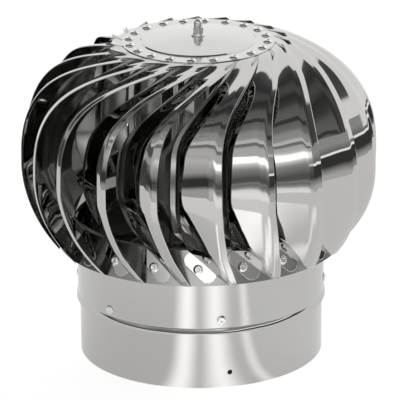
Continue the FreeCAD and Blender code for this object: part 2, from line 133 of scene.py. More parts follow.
def startMaterial(name, colour, roughness, metallic=1.0):
    material = bpy.data.materials.new(name)
    material.use_nodes = True
    surface = material.node_tree.nodes["Principled BSDF"]
    surface.inputs["Base Color"].default_value = toLinear(colour)
    surface.inputs["Roughness"].default_value = roughness
    surface.inputs["Metallic"].default_value = metallic
    return material, material.node_tree, surface


def stainlessSheet(name, colour, roughness, handled=None):  # its mirror images sway a little
    material, tree, surface = startMaterial(name, colour, roughness)
    place = addNode(tree, "TexCoord", {}, "Object")
    scale = 1 / (sheetLook["waveMm"] * mm)
    sway = addNode(tree, "TexNoise", {"Vector": place, "Scale": scale, "Detail": 1.0})
    height = sheetLook["waveHeight"] * mm
    bent = addNode(tree, "Bump", {"Height": sway, "Strength": sheetLook["waveDepth"], "Distance": height})
    tree.links.new(bent, surface.inputs["Normal"])
    if handled:
        scale = 1 / (sheetLook["patchMm"] * mm)
        patch = addNode(tree, "TexNoise", {"Vector": place, "Scale": scale, "Detail": 3.0})
        low, high = sheetLook["patchRange"]
        dulled = addNode(tree, "MapRange", {
            "Value": patch, "From Min": low, "From Max": high, "To Min": roughness, "To Max": handled})
        tree.links.new(dulled, surface.inputs["Roughness"])
    return material


def plainMetal(name, colour, roughness, grainMm, depth):  # turned, rolled, ground and plated metals
    material, tree, surface = startMaterial(name, colour, roughness)
    place = addNode(tree, "TexCoord", {}, "Object")
    grain = addNode(tree, "TexNoise", {"Vector": place, "Scale": 1 / (grainMm * mm), "Detail": 3.0})
    smoother, rougher = roughness * (1 - grainLook["spread"]), roughness * (1 + grainLook["spread"])
    varied = addNode(tree, "MapRange", {"Value": grain, "To Min": smoother, "To Max": rougher})
    tree.links.new(varied, surface.inputs["Roughness"])
    height = grainLook["height"] * mm
    bent = addNode(tree, "Bump", {"Height": grain, "Strength": depth, "Distance": height})
    tree.links.new(bent, surface.inputs["Normal"])
    return material


# 304 sheet polished to a mirror: sharp images that sway a little
stainless = stainlessSheet("polishedStainless", "#c9c8c6", 0.015, handled=0.045)
# The same sheet where polishing misses it: soft images, and painted shade in its darker colour
dullShadedStainless = stainlessSheet("dullShadedStainless", "#a8a8a6", 0.22)
# Pressed 304 sheet: pale, and faintly mottled
discStainless = plainMetal("discStainless", "#cfcfcd", 0.10, 2.4, 0.22)
# Drawn aluminium: small soft highlights
rivetAluminium = plainMetal("brightRivet", "#f0f0ef", 0.26, 1.2, 0.03)
# Cold-rolled 304 strip, as it leaves the mill: an even satin
rolledStainless = plainMetal("rolledStainless", "#b9b9b7", 0.28, 0.8, 0.12)
# Steel from the lathe: a dull, fine grain
turnedSteel = plainMetal("turnedSteel", "#a5a5a4", 0.32, 0.5, 0.15)
# Plated nut and washers: bright, with soft highlights
brightPlate = plainMetal("brightPlate", "#f2f2f1", 0.30, 1.5, 0.02)
# Oiled spring steel: nearly black
springSteel = plainMetal("springSteel", "#4a4b4d", 0.35, 0.6, 0.10)
# Ground bearing steel: bright, with a very fine grain
groundSteel = plainMetal("groundSteel", "#bdbec0", 0.14, 0.4, 0.05)
print("materials ready")


# Neck

neck = {
    "radius": 100.0, "sheet": 0.8, "top": 70.0, "swage": 0.8, "fitLength": 45.0,
    "holeRadius": 2.1, "holeHeight": 12.6, "holeAzimuth": 13.1, "drillLength": 20.0,
    "sleeveBottom": 46.0, "sleeveTop": 112.0, "bead": 2.2,
    "dripHeight": 6.6, "dripFlare": 1.3, "dripCurve": ((0.86, 0.40), (0.28, 0.78)),  # shares of flare, height
}


def makeSpigot(n):
    outside, swaged = n["radius"], n["radius"] + n["swage"]
    outline = [
        (outside - n["sheet"], 0), (outside, 0), (outside, n["fitLength"]), (swaged, n["sleeveBottom"]),
        (swaged, n["top"]), (swaged - n["sheet"], n["top"]), (swaged - n["sheet"], n["sleeveBottom"]),
        (outside - n["sheet"], n["fitLength"]),
    ]
    tube = lathe(outline, steps=360)
    piece = finishPiece(tube, "neckSpigot", "neck", stainless, ["flue_spigot"], weighted=False)
    cutter = bmesh.new()
    radius, length = n["holeRadius"] * mm, n["drillLength"] * mm
    bmesh.ops.create_cone(cutter, cap_ends=True, segments=32, radius1=radius, radius2=radius, depth=length)
    seat = polar(outside, n["holeAzimuth"], n["holeHeight"])
    outward = polar(1, n["holeAzimuth"], 0).normalized()
    turn = up.rotation_difference(outward).to_matrix().to_4x4()
    bmesh.ops.transform(cutter, matrix=Matrix.Translation(seat) @ turn, verts=cutter.verts)
    drill = linkObject("holeCutter", cutter)
    cut = piece.modifiers.new("screwHole", "BOOLEAN")
    cut.operation = "DIFFERENCE"
    cut.solver = "EXACT"
    cut.object = drill
    bpy.context.view_layer.update()
    drilled = bpy.data.meshes.new_from_object(piece.evaluated_get(bpy.context.evaluated_depsgraph_get()))
    piece.modifiers.remove(cut)
    piece.data = drilled
    bpy.data.objects.remove(drill)
    piece.modifiers.new("evenNormals", "WEIGHTED_NORMAL")


def makeSleeve(n):
    inside = n["radius"] + n["swage"]
    outside = inside + n["sheet"]
    bottom, top, flare, height = n["sleeveBottom"], n["sleeveTop"], n["dripFlare"], n["dripHeight"]
    outline = [(inside + flare, bottom), (outside + flare, bottom)]
    outline += [(outside + flare * out, bottom + height * rise) for out, rise in n["dripCurve"]]
    outline += [
        (outside, bottom + height), (outside, top - n["sheet"]), (outside + n["bead"], top - n["sheet"]),
        (outside + n["bead"], top), (inside, top), (inside, bottom + height),
    ]
    finishPiece(lathe(outline, steps=360), "neckSleeve", "neck", stainless, ["neck_sleeve"])


makeSpigot(neck)
makeSleeve(neck)
print("neck ready")


# Lower ring

ring = {
    "bottom": 94.0, "top": 121.5, "bottomRadius": 117.0, "topRadius": 109.0, "sheet": 0.8, "flange": 4.5,
}
ringLean = (ring["topRadius"] - ring["bottomRadius"]) / (ring["top"] - ring["bottom"])


def ringRadius(height):
    return ring["bottomRadius"] + (height - ring["bottom"]) * ringLean


def makeRing(r):
    under = r["top"] - r["sheet"]
    outline = [
        (r["bottomRadius"] - r["sheet"], r["bottom"]), (r["bottomRadius"], r["bottom"]),
        (r["topRadius"], r["top"]), (r["topRadius"] - r["flange"], r["top"]),
        (r["topRadius"] - r["flange"], under), (ringRadius(under) - r["sheet"], under),
    ]
    # the ring takes the duller sheet, whose darker colour is painted shade under the vanes
    finishPiece(lathe(outline, steps=360), "lowerRing", "rotor", dullShadedStainless, ["lower_ring"])


makeRing(ring)
print("ring ready")


# Vanes

ball = {  # the surface that the lips lie on
    "radius": 146.0, "equator": 165.0, "crownRise": 102.0, "crownPower": 2.55, "lipOverhang": 1.73,
    "crownSweep": 126.0, "crownSweepPower": 1.8, "bellySweep": 11.0, "bellySweepPower": 1.2,
}
vane = {
    "count": 20, "first": -15.0, "sheet": 0.6,
    "equatorGap": 15.4, "rimGap": 2.0, "gapPower": 1.5, "depth": 20.0, "depthPower": 2.0, "footDepth": 29.0,
    "band": 5.6, "bandDepth": 1.1, "turn": 5.0, "turnDepth": 3.0, "creaseRound": 1.2,
    "step": ((1.0, 6.0), (5.2, 1.1), (3.0, 7.0), (4.0, 14.0)),  # width and depth: wall, ledge, two walls
    "stepRound": 0.5, "stepStart": 1.5, "stepOverRing": 2.0,  # how far before the face's end, over the ring
    "lean": 2.5, "leans": {0: 1.7, 1: 3.8, 2: 2.8, 5: 2.0, 17: 4.2, 18: 1.7},  # degrees
    "leanPower": 6,
    "tabRadius": 51.0, "tabWidth": 16.0, "rimStart": 1.0, "rimBlend": 6.0, "tabShare": 0.10,
    "discRadius": 62.0, "discUnderside": 261.4, "pastRing": 5.0, "clearOfRing": 150.0,
}
vaneMesh = {
    "rows": 88, "lipColumns": 29, "lipColumn": 0.5, "faceColumns": 8, "stepColumns": 38,
    "dullShadedFrom": 1.5,  # columns past the face's end; from here the sheet is duller, and darker with painted shade
    "merge": 0.02, "sagSamples": 6, "leastSoft": 0.05, "coverRounds": 12, "reachRounds": 30,
}
foot = {
    "height": 107.0, "lag": 4.0, "halfLength": 8.0, "radius": 7.2, "shift": 2.3, "slope": 42.0, "rim": 0.5,
    "cutReach": 14, "cutEvery": 2,  # where the flat shape is cut, so that it can bend
}
pitch = 360 / vane["count"]
bellyDrop = (ball["equator"] - ring["bottom"]) / math.sqrt(
    1 - ((ring["bottomRadius"] + ball["lipOverhang"]) / ball["radius"]) ** 2)


def lipAt(angle):  # radius, height and outward normal of the ball at an angle above its equator
    turn = math.radians(angle)
    power, rise, side = (ball["crownPower"], ball["crownRise"], 1) if angle >= 0 else (2.0, bellyDrop, -1)
    reach = math.cos(turn) ** (2 / power)
    climb = abs(math.sin(turn)) ** (2 / power)
    out = reach ** (power - 1) / ball["radius"]
    rising = side * climb ** (power - 1) / rise
    length = math.hypot(out, rising)
    return ball["radius"] * reach, ball["equator"] + side * rise * climb, out / length, rising / length


def fallenTo(height):  # 0 at the equator, 1 at the ring's bottom
    return (ball["equator"] - height) / (ball["equator"] - ring["bottom"])


def sweepAt(radius, height=ball["equator"]):  # azimuth of a lip, from where it crosses the equator
    if height >= ball["equator"]:
        return ball["crownSweep"] * (1 - min(radius / ball["radius"], 1)) ** ball["crownSweepPower"]
    return ball["bellySweep"] * fallenTo(height) ** ball["bellySweepPower"]


def coverAt(radius):  # how far the next lip lies along this one's tangent
    across = 0.0
    for _ in range(vaneMesh["coverRounds"]):
        turned = pitch + sweepAt(radius) - sweepAt(math.hypot(radius, across))
        across = radius * math.tan(math.radians(turned))
    return across


def crownSize(radius):  # width and depth of the sheet above the equator
    reached = (ball["radius"] - radius) / (ball["radius"] - vane["discRadius"])
    gap = vane["rimGap"] + (vane["equatorGap"] - vane["rimGap"]) * (1 - reached ** vane["gapPower"])
    return coverAt(radius) - gap, vane["depth"] * (1 - reached ** vane["depthPower"])


def sheetLine(width, depth):  # the section as (distance from the lip, how far in): band, crease, face, step
    share = min(depth / vane["depth"], 1.0)
    bandDepth, creaseDepth = vane["bandDepth"] * share, (vane["bandDepth"] + vane["turnDepth"]) * share
    line = [(0.0, 0.0), (vane["band"], bandDepth), (vane["band"] + vane["turn"], creaseDepth), (width, depth)]
    for wide, deep in vane["step"]:
        line.append((line[-1][0] + wide, line[-1][1] + deep * share))
    return line


def sag(x, line):  # how far in the sheet lies at a distance x from its lip, with rounded creases
    soft = vane["creaseRound"] if x < line[3][0] - vane["stepStart"] else vane["stepRound"]
    least, half = vaneMesh["leastSoft"], vaneMesh["sagSamples"]
    soft = min(soft, max(x, least), max(line[-1][0] - x, least))
    total = 0.0
    for sample in range(-half, half + 1):
        at = x + soft * sample / half
        for (x0, y0), (x1, y1) in zip(line, line[1:]):
            if at < x1 or x1 == line[-1][0]:
                total += y0 + (y1 - y0) * (at - x0) / (x1 - x0)
                break
    return total / (2 * half + 1)


def stationAt(along):  # lip point, directions, width and depth of the sheet, from foot, 0, to tab's end, 1
    lowest = -math.degrees(math.asin((ball["equator"] - ring["bottom"] + vane["pastRing"]) / bellyDrop))
    start = vane["discRadius"] + vane["rimBlend"]
    highest = math.degrees(math.acos((start / ball["radius"]) ** (ball["crownPower"] / 2)))
    blade = 1 - vane["tabShare"]
    if along <= blade:
        radius, height, out, rising = lipAt(lowest + (highest - lowest) * along / blade)
        if height >= ball["equator"]:
            width, depth = crownSize(radius)
        else:
            width = coverAt(ball["radius"]) - vane["equatorGap"]
            depth = vane["depth"] + (vane["footDepth"] - vane["depth"]) * fallenTo(height)
        sweep = sweepAt(radius, height)
    else:  # from the blade's top the sheet settles flat under the disc and narrows into the tab
        rim = vane["discRadius"] + vane["rimStart"]
        radius = start + (vane["tabRadius"] - start) * (along - blade) / vane["tabShare"]
        settled = min((start - radius) / (start - rim), 1)
        _, height, out, rising = lipAt(highest)
        height += (vane["discUnderside"] - height) * settled
        out, rising = out * (1 - settled), rising + (1 - rising) * settled
        width, depth = crownSize(start)
        width += (coverAt(rim) - vane["rimGap"] - width) * settled
        depth *= 1 - settled
        if radius < rim:
            width += (vane["tabWidth"] - width) * (rim - radius) / (rim - vane["tabRadius"])
        sweep = sweepAt(radius)
    angle = math.radians(sweep)
    across = Vector((-math.cos(angle), -math.sin(angle), 0))
    inward = Vector((-math.sin(angle) * out, math.cos(angle) * out, -rising)).normalized()
    return polar(radius, sweep, height), across, inward, width, max(depth, 0.0)


def sheetPoint(station, x):
    lip, across, inward, width, depth = station
    return lip + across * x * mm + inward * sag(x, sheetLine(width, depth)) * mm


def outsideRing(point):  # how far a point lies outside the ring's cone, in mm
    return math.hypot(point.x, point.y) / mm - ringRadius(point.z / mm)


def reachAt(station):  # the sheet's width, or less where it meets the ring
    lip, _, _, width, _ = station
    if lip.z > vane["clearOfRing"] * mm or outsideRing(sheetPoint(station, width)) > 0:
        return width
    near, far = 0.0, width
    for _ in range(vaneMesh["reachRounds"]):
        middle = (near + far) / 2
        if outsideRing(sheetPoint(station, middle)) > 0:
            near = middle
        else:
            far = middle
    return near


def makeFoot(f):  # the rounded foot that lies on the ring, bent from a flat slot shape
    bm = bmesh.new()
    bmesh.ops.create_circle(bm, cap_ends=True, segments=40, radius=f["radius"])
    for vert in bm.verts:
        vert.co.x += math.copysign(f["halfLength"], vert.co.x)
        vert.co.y += f["shift"]
    bmesh.ops.inset_region(bm, faces=bm.faces, thickness=f["rim"], use_boundary=True, use_even_offset=True)
    slope = Matrix.Rotation(math.radians(-f["slope"]), 3, "Z")
    bmesh.ops.rotate(bm, cent=centre, matrix=slope, verts=bm.verts)
    for away in range(-f["cutReach"], f["cutReach"] + 1, f["cutEvery"]):
        for across in (Vector((1, 0, 0)), Vector((0, 1, 0))):
            everything = bm.verts[:] + bm.edges[:] + bm.faces[:]
            bmesh.ops.bisect_plane(bm, geom=everything, plane_co=across * away, plane_no=across)
    for vert in bm.verts:
        height = f["height"] + vert.co.y
        radius = ringRadius(height) + vane["sheet"]
        vert.co = polar(radius, math.degrees(vert.co.x / radius) - f["lag"], height)
    return bm


def leanOf(number, height):  # how far a vane leans round the axis, in degrees: most at the equator
    if height >= ball["equator"]:
        risen = min((height - ball["equator"]) / (vane["discUnderside"] - ball["equator"]), 1)
        free = 1 - risen ** vane["leanPower"]
    else:
        free = 1 - min((ball["equator"] - height) / (ball["equator"] - ring["top"]), 1)
    return vane["leans"].get(number, vane["lean"]) * free


def makeVane(number, m=vaneMesh):
    columns = m["lipColumns"] + m["faceColumns"] + m["stepColumns"]
    bm = bmesh.new()
    bmesh.ops.create_grid(bm, x_segments=columns - 1, y_segments=m["rows"], size=0.5)
    dullShadedPast = (columns - m["stepColumns"] + m["dullShadedFrom"]) / (columns - 1) - 0.5  # duller sheet past it, with painted shade
    for face in bm.faces:
        face.material_index = int(face.calc_center_median().x > dullShadedPast)
    rows = {}
    for vert in bm.verts:
        rows.setdefault(round(vert.co.y, 6), []).append(vert)
    lipPart = [m["lipColumn"] * k for k in range(m["lipColumns"])]  # close columns over the lip's creases
    stepWidth = sum(wide for wide, _ in vane["step"])
    for place, row in rows.items():
        station = stationAt(place + 0.5)
        lipHeight, width, reach = station[0].z / mm, station[3], reachAt(station)
        faceEnd = width - vane["stepStart"]
        facePart = (faceEnd - lipPart[-1]) / m["faceColumns"]
        overRing = lipHeight > ring["top"] + vane["stepOverRing"]
        stepPart = (vane["stepStart"] + (stepWidth if overRing else 0.0)) / m["stepColumns"]
        places = lipPart + [lipPart[-1] + facePart * (k + 1) for k in range(m["faceColumns"])]
        places += [faceEnd + stepPart * (k + 1) for k in range(m["stepColumns"])]
        limit = reach if reach < width else width + stepWidth
        turn = Matrix.Rotation(math.radians(leanOf(number, lipHeight)), 3, "Z")
        for vert, x in zip(sorted(row, key=lambda v: v.co.x), places):
            vert.co = turn @ sheetPoint(station, min(x, limit))
    everything = bm.verts[:] + bm.edges[:] + bm.faces[:]
    bmesh.ops.bisect_plane(bm, geom=everything, plane_co=(0, 0, ring["bottom"] * mm), plane_no=(0, 0, -1),
                           clear_outer=True)
    bmesh.ops.remove_doubles(bm, verts=bm.verts, dist=m["merge"] * mm)
    bmesh.ops.dissolve_degenerate(bm, dist=touching, edges=bm.edges)
    addInto(bm, makeFoot(foot))
    turn = Matrix.Rotation(math.radians(vane["first"] + pitch * number), 3, "Z")
    bmesh.ops.rotate(bm, cent=centre, matrix=turn, verts=bm.verts)
    node = f"vane_{number + 1:02d}"
    piece = finishPiece(bm, f"sheet_{node}", "rotor", stainless, [node], weighted=False)
    # the inner folds take the duller sheet, whose darker colour is painted shade
    piece.data.materials.append(dullShadedStainless)
    leaning = sum(p.area * (p.normal.x * p.center.x + p.normal.y * p.center.y) for p in piece.data.polygons)
    if leaning < 0:  # the outer face looks away from the axis, and the wall grows inwards
        piece.data.flip_normals()
    wall = piece.modifiers.new("wall", "SOLIDIFY")
    wall.thickness = vane["sheet"] * mm
    wall.offset = -1
    piece.modifiers.new("evenNormals", "WEIGHTED_NORMAL")


for number in range(vane["count"]):
    makeVane(number)
print("vanes ready")


# Top disc, washers and cap nut

top = {
    "radius": 62.0, "sheet": 0.8, "underside": 261.4, "thread": 2.5,
    "panelRadius": 46.0, "panelSlope": 1.2, "panelStep": 1.0, "clampedRadius": 22.0, "centreRise": 4.3,
    "washerRadius": 5.7, "washerHeight": 1.2, "springHeight": 1.3,
    "nutFlats": 8.0, "nutHex": 4.6, "nutEdge": 0.3, "domeRadius": 3.6, "domeHeight": 3.4, "domeSunk": 1.0,
    "domeSteps": 12,
}
panelTop = top["underside"] + top["centreRise"] + top["sheet"]
washerTop = panelTop + top["washerHeight"]
springTop = washerTop + top["springHeight"]


def makeDisc(t):
    panelUnder = t["underside"] + t["centreRise"]
    under = [
        (t["thread"], panelUnder), (t["clampedRadius"], panelUnder),
        (t["panelRadius"], t["underside"] + t["panelStep"]),
        (t["panelRadius"] + t["panelSlope"], t["underside"]), (t["radius"], t["underside"]),
    ]
    over = [(r, z + t["sheet"]) for r, z in under]
    finishPiece(lathe(under + over[::-1], steps=240), "topDisc", "rotor", discStainless, ["top_disc"])


def makeWasher(t):
    outline = [
        (t["thread"], panelTop), (t["washerRadius"], panelTop), (t["washerRadius"], washerTop),
        (t["thread"], washerTop),
    ]
    finishPiece(lathe(outline, steps=72, edge=0.2), "topWasher", "rotor", brightPlate, ["top_washer"])


def makeCapNut(t):
    hexTop = springTop + t["nutHex"]
    corner = t["nutFlats"] / 2 / math.cos(math.pi / 6) * mm
    height = t["nutHex"] * mm
    bm = bmesh.new()
    bmesh.ops.create_cone(bm, cap_ends=True, segments=6, radius1=corner, radius2=corner, depth=height)
    bmesh.ops.translate(bm, vec=(0, 0, (springTop + t["nutHex"] / 2) * mm), verts=bm.verts)
    bevelSharp(bm, t["nutEdge"], 3)
    radius, middle = t["domeRadius"], hexTop + t["domeHeight"]
    turns = [math.pi / 2 * k / t["domeSteps"] for k in range(t["domeSteps"])]
    arc = [(radius * math.cos(a), middle + radius * math.sin(a)) for a in turns]
    outline = [(0, hexTop - t["domeSunk"]), (radius, hexTop - t["domeSunk"])] + arc + [(0, middle + radius)]
    addInto(bm, lathe(outline, steps=48, edge=0))
    finishPiece(bm, "capNut", "rotor", brightPlate, ["cap_nut"])


makeDisc(top)
makeWasher(top)
makeCapNut(top)
print("top ready")


# Rivets

rivet = {
    "head": 4.0, "crown": 2.4, "height": 1.5, "shank": 2.0, "end": 2.9, "endHeight": 2.0, "edge": 0.12,
    "headCurve": ((0.99, 0.35), (0.86, 0.95)),  # share of the head's radius, height
    "mandrel": 1.15, "mandrelSlope": 0.35, "dimple": 0.5,  # the snapped mandrel in the middle of the head
    "discRadius": 56.3, "discInset": 7.0,
}


def addRivet(bm, seat, outward, grip, r=rivet):
    end, dimple = -grip - r["endHeight"], r["height"] - r["dimple"]
    outline = [
        (0, end), (r["end"], end), (r["end"], -grip), (r["shank"], -grip), (r["shank"], 0), (r["head"], 0),
    ]
    outline += [(r["head"] * share, height) for share, height in r["headCurve"]]
    outline += [
        (r["crown"], r["height"]), (r["mandrel"] + r["mandrelSlope"], r["height"]), (r["mandrel"], dimple),
        (0, dimple),
    ]
    addInto(bm, lathe(outline, steps=24, edge=r["edge"], seat=seat, along=outward))


def makeDiscRivets():
    bm = bmesh.new()
    radius = rivet["discRadius"]
    azimuth = sweepAt(radius) - math.degrees(rivet["discInset"] / radius) + vane["first"]
    for k in range(vane["count"]):
        seat = polar(radius, azimuth + pitch * k, top["underside"] + top["sheet"])
        addRivet(bm, seat, up, top["sheet"] + vane["sheet"])
    finishPiece(bm, "discRivets", "rotor", rivetAluminium, ["disc_rivets"])


def makeRingRivets():
    bm = bmesh.new()
    for k in range(vane["count"]):
        azimuth = vane["first"] + pitch * k - foot["lag"]
        outward = (polar(1, azimuth, 0).normalized() - up * ringLean).normalized()
        seat = polar(ringRadius(foot["height"]) + vane["sheet"], azimuth, foot["height"])
        addRivet(bm, seat, outward, ring["sheet"] + vane["sheet"])
    finishPiece(bm, "ringRivets", "rotor", rivetAluminium, ["ring_rivets"])


def makeNeckRivets():
    straps = {
        "azimuths": (-46.7, 9.3, 85.0), "seat": 48.3, "thickness": 2.0, "rivetRise": 8.3, "slack": 0.05,
    }
    grip = 2 * neck["sheet"] + straps["thickness"] + straps["slack"]
    bm = bmesh.new()
    for index, strapAzimuth in enumerate(straps["azimuths"]):
        height = straps["seat"] + index * straps["thickness"] + straps["rivetRise"]
        for azimuth in (strapAzimuth, strapAzimuth + 180):
            seat = polar(neck["radius"] + neck["swage"] + neck["sheet"], azimuth, height)
            addRivet(bm, seat, polar(1, azimuth, 0).normalized(), grip)
    finishPiece(bm, "neckRivets", "neck", rivetAluminium, ["neck_rivets"])


makeDiscRivets()
makeRingRivets()
makeNeckRivets()
print("rivets ready")


# Carried-over CAD nodes, which keep their own meshes

finishes = {
    rolledStainless: ["strap_1", "strap_2", "strap_3", "dust_cap", "stiffener_plate"],
    turnedSteel: ["bearing_housing", "housing_nut", "housing_washer", "hub", "shaft", "outer_spacer",
                  "inner_spacer"],
    brightPlate: ["spring_washer"],
    springSteel: ["housing_circlip", "shaft_circlip", "cap_clip"],
    groundSteel: ["lower_bearing_outer", "upper_bearing_outer", "lower_bearing_inner", "upper_bearing_inner",
                  "lower_bearing_balls", "upper_bearing_balls"],
}
for material, nodes in finishes.items():
    for node in nodes:
        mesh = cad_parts[node].data
        mesh.materials.clear()
        mesh.materials.append(material)
print("carried-over nodes ready")


# Studio: paper floor and camera

studio = {
    "floorRadius": 0.92, "floorCentre": (0.0, 0.28), "floorColour": "#f0f0ef", "floorRoughness": 0.9,
    "seenLift": 0.72, "mirroredLift": 0.42,  # how far the paper is lifted to white, seen and in mirrors
    "shadedRadius": 0.099,  # inside the neck the paper gets no glow and stays dark: painted shade
    # streaks of glow on the paper, seen only in mirrors: painted reflections on the neck
    "glowStreaks": ((-11.0, 11.0, 0.85), (10.5, 14.0, 0.80), (33.0, 6.0, 0.42)),  # azimuth, half width, light
    "frontFrom": 0.38, "frontBlend": 0.02,  # further in front the paper glows paler in mirrors, a painted reflection, from here on
    "frontAzimuths": (-62.0, 16.0), "frontMargin": 6.0, "frontSteep": 3.0, "frontLight": 0.14,
    "distance": 2.770, "elevation": 19.284, "roll": -0.592, "lookHeight": 0.12556, "lens": 303.66,
    "sensor": 36.0,
}


def azimuthOf(tree, x, y):  # degrees from the front, growing towards +X
    frontward = addNode(tree, "Math", {0: y, 1: -1.0}, operation="MULTIPLY")
    turned = addNode(tree, "Math", {0: x, 1: frontward}, operation="ARCTAN2")
    return addNode(tree, "Math", {0: turned}, operation="DEGREES")


def softSpot(tree, value, middle, halfWidth):  # 1 in the middle, fading softly to 0 at the half width
    apart = addNode(tree, "Math", {0: value, 1: middle}, operation="SUBTRACT")
    away = addNode(tree, "Math", {0: apart}, operation="ABSOLUTE")
    return addNode(tree, "MapRange", {"Value": away, "From Max": halfWidth, "To Min": 1.0, "To Max": 0.0},
                   interpolation_type="SMOOTHSTEP")


def paperLight(tree, place, s):  # the paper's glow as the cowl mirrors it: painted streaks near the neck, a paler patch further in front
    split = addNode(tree, "SeparateXYZ", {"Vector": place}).node.outputs
    azimuth = azimuthOf(tree, split["X"], split["Y"])
    near = 0.0
    for middle, halfWidth, light in s["glowStreaks"]:
        spot = softSpot(tree, azimuth, middle, halfWidth)
        near = addNode(tree, "Math", {0: spot, 1: light, 2: near}, operation="MULTIPLY_ADD")
    left, right = s["frontAzimuths"]
    inFront = softSpot(tree, azimuth, (left + right) / 2, (right - left) / 2 + s["frontMargin"])
    steep = addNode(tree, "Math", {0: inFront, 1: s["frontSteep"]}, operation="MULTIPLY", use_clamp=True)
    front = addNode(tree, "Math", {0: steep, 1: s["frontLight"]}, operation="MULTIPLY")
    distance = addNode(tree, "VectorMath", {0: place}, "Value", operation="LENGTH")
    nearEnd, farStart = s["frontFrom"] - s["frontBlend"], s["frontFrom"] + s["frontBlend"]
    isFar = addNode(tree, "MapRange", {"Value": distance, "From Min": nearEnd, "From Max": farStart})
    patchy = addNode(tree, "Mix", {"Factor": isFar, "A": near, "B": front})
    return addNode(tree, "Math", {0: patchy, 1: s["mirroredLift"]}, operation="ADD"), distance


def makeFloor(s):  # matte paper, lifted to white; in mirrors its glow paints streaks and patches on the metal
    bm = bmesh.new()
    bmesh.ops.create_circle(bm, cap_ends=True, segments=128, radius=s["floorRadius"])
    bmesh.ops.translate(bm, vec=(*s["floorCentre"], 0), verts=bm.verts)
    floor = linkObject("floor", bm)
    material, tree, paper = startMaterial("floorPaper", s["floorColour"], s["floorRoughness"], 0.0)
    place = addNode(tree, "TexCoord", {}, "Object")
    light, distance = paperLight(tree, place, s)
    rays = addNode(tree, "LightPath", {}).node.outputs
    glossy, transmitted = rays["Is Glossy Ray"], rays["Is Transmission Ray"]
    mirrored = addNode(tree, "Math", {0: glossy, 1: transmitted}, operation="MAXIMUM")
    inMirror = addNode(tree, "Math", {0: mirrored, 1: light}, operation="MULTIPLY")
    seen = {0: rays["Is Camera Ray"], 1: s["seenLift"], 2: inMirror}
    lift = addNode(tree, "Math", seen, operation="MULTIPLY_ADD")
    # no glow inside the neck: painted shade there
    outside = addNode(tree, "Math", {0: distance, 1: s["shadedRadius"]}, operation="GREATER_THAN")
    strength = addNode(tree, "Math", {0: lift, 1: outside}, operation="MULTIPLY")
    glow = addNode(tree, "Emission", {"Strength": strength})
    both = addNode(tree, "AddShader", {0: paper.outputs["BSDF"], 1: glow})
    tree.links.new(both, tree.nodes["Material Output"].inputs["Surface"])
    floor.data.materials.append(material)


def makeCamera(s):
    slope, roll = math.radians(s["elevation"]), math.radians(s["roll"])
    forward = Vector((0, math.cos(slope), -math.sin(slope)))
    right = Vector((1, 0, 0))
    above = right.cross(forward)
    place = Vector((0, 0, s["lookHeight"])) - forward * s["distance"]
    across = right * math.cos(roll) + above * math.sin(roll)
    upward = above * math.cos(roll) - right * math.sin(roll)
    data = bpy.data.cameras.new("camera")
    data.sensor_width = s["sensor"]
    data.lens = s["lens"]
    camera = bpy.data.objects.new("camera", data)
    scene.collection.objects.link(camera)
    camera.matrix_world = Matrix((
        (across.x, upward.x, -forward.x, place.x), (across.y, upward.y, -forward.y, place.y),
        (across.z, upward.z, -forward.z, place.z), (0, 0, 0, 1)))
    scene.camera = camera


makeFloor(studio)
makeCamera(studio)
scene.view_settings.view_transform = "Standard"
print("studio ready")


# Hall: what the mirror-bright sheet mirrors

hall = {  # stops give a height of direction and the light there; 1 is as white as the paper
    "turn": 38.0,  # degrees that the hall is turned about the upright
    "front": [  # floor, benches, far wall, window band, wall
        (-1.0, 0.70), (-0.40, 1.0), (-0.30, 1.2), (-0.255, 1.05), (-0.225, 0.40), (-0.19, 0.22),
        (-0.16, 0.30), (-0.14, 0.13), (-0.09, 0.12), (-0.04, 0.20), (0.03, 0.29), (0.08, 0.38),
        (0.11, 0.55), (0.15, 0.80), (0.185, 1.2), (0.20, 1.9), (0.29, 1.9), (0.32, 1.3), (0.335, 0.80),
        (0.36, 0.76), (1.0, 0.76),
    ],
    "right": [  # floor, dark gap, lit strip, wall
        (-1.0, 0.65), (-0.25, 0.60), (-0.15, 0.05), (0.0, 0.05), (0.01, 1.3), (0.04, 1.3), (0.05, 0.20),
        (0.20, 0.40), (1.0, 0.30),
    ],
    "side": [  # floor, dark gap, wall, paler band, wall
        (-1.0, 0.60), (-0.20, 0.50), (-0.15, 0.05), (-0.05, 0.05), (0.05, 0.45), (0.25, 0.70), (0.40, 0.50),
        (1.0, 0.40),
    ],
    "left": [
        (-1.0, 0.60), (-0.40, 0.35), (-0.20, 0.10), (0.0, 0.07), (0.08, 0.10), (0.12, 0.45), (0.20, 0.45),
        (0.24, 0.12), (1.0, 0.10),
    ],
    "roof": [  # distance along the turned roof over its height, in front below 0, and the light
        (-4.0, 0.76), (-2.0, 0.74), (-1.6, 0.72), (-1.44, 0.60), (-1.40, 0.28), (-1.22, 0.28),
        (-1.17, 0.85), (-1.0, 0.80), (-0.95, 0.50), (-0.68, 0.45), (-0.56, 0.27), (-0.45, 0.22),
        (-0.40, 0.20), (-0.385, 0.07), (-0.31, 0.07), (-0.295, 0.20), (-0.14, 0.17), (-0.05, 0.07),
        (0.06, 0.045), (0.15, 0.11), (0.21, 0.10), (0.27, 0.05), (0.40, 0.08), (0.47, 0.12), (0.49, 0.80),
        (0.53, 1.0), (4.0, 1.05),
    ],
    "slant": 0.0017,  # how much the hall's level lines climb to the left, for each degree
    "rightFrom": (17.0, 26.0), "sideFrom": (-36.0, -54.0), "leftFrom": (-82.0, -92.0),  # azimuths
    "roofFrom": 0.36, "overheadLeast": 0.05,
    "ribPitch": 0.024, "ribWidth": 0.45, "ribShade": 0.30, "ribsTo": 0.36,
    "backFrom": (0.72, 0.82), "cornerFrom": (0.42, 0.55), "cornerAbove": 0.095, "backLight": 1.05,
}


